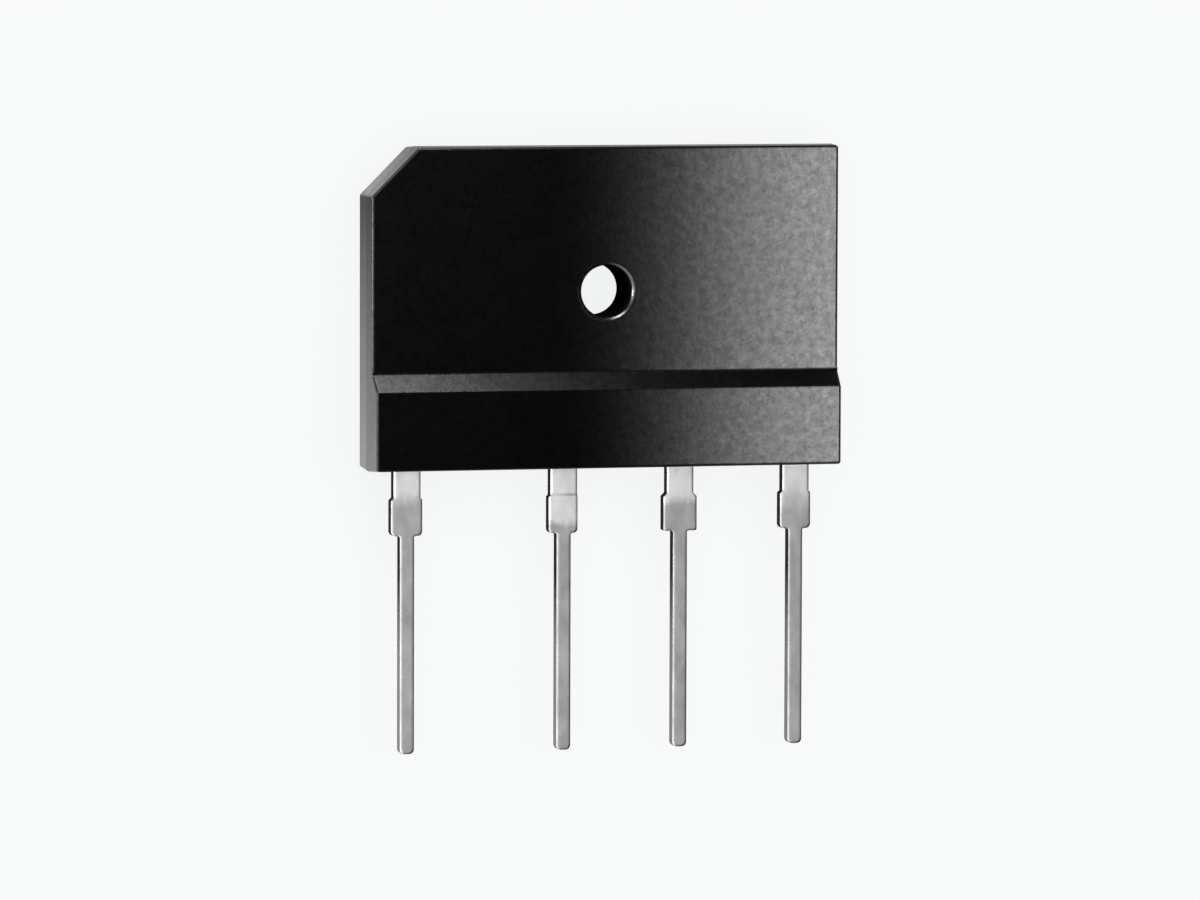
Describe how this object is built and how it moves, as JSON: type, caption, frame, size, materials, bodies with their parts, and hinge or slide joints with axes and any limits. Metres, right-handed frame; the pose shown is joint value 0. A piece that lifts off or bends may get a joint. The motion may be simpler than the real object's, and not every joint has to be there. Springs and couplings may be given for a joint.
{
  "type": "bridge rectifier",
  "caption": "Single in-line moulded bridge rectifier: flat black epoxy body with a screw hole, a cut corner and a stepped lead edge, with a row of flat tinned leads.",
  "frame": {"origin": "centre of the screw hole in the flat back face", "axes": "+X along the lead row from the plus lead to the minus lead, +Y from the leads towards the top edge, +Z out of the front face along the screw hole"},
  "size_m": [0.03, 0.0375, 0.0046],
  "materials": {
    "epoxy": "fine matt moulding texture, satin on the edges",
    "tinned_lead": "matt tin plate over copper, fine stamping lines along the lead",
    "copper": "bare rolled copper, sealed in the epoxy",
    "silicon": "polished silicon with a passivated rim, sealed in the epoxy",
    "solder": "reflowed solder, sealed in the epoxy"
  },
  "bodies": {
    "root": {"moulded_body": "epoxy", "lead_plus": "tinned_lead", "lead_ac_left": "tinned_lead", "lead_ac_right": "tinned_lead", "lead_minus": "tinned_lead", "die_plus_left": "silicon", "die_plus_right": "silicon", "die_ac_left": "silicon", "die_ac_right": "silicon", "clip_left": "copper", "clip_right": "copper", "strap_minus": "copper", "solder_under_die_plus_left": "solder", "solder_under_die_plus_right": "solder", "solder_under_die_ac_left": "solder", "solder_under_die_ac_right": "solder", "solder_over_die_plus_left": "solder", "solder_over_die_plus_right": "solder", "solder_over_die_ac_left": "solder", "solder_over_die_ac_right": "solder", "solder_foot_left": "solder", "solder_foot_right": "solder", "solder_strap_minus": "solder"}
  },
  "joints": []
}
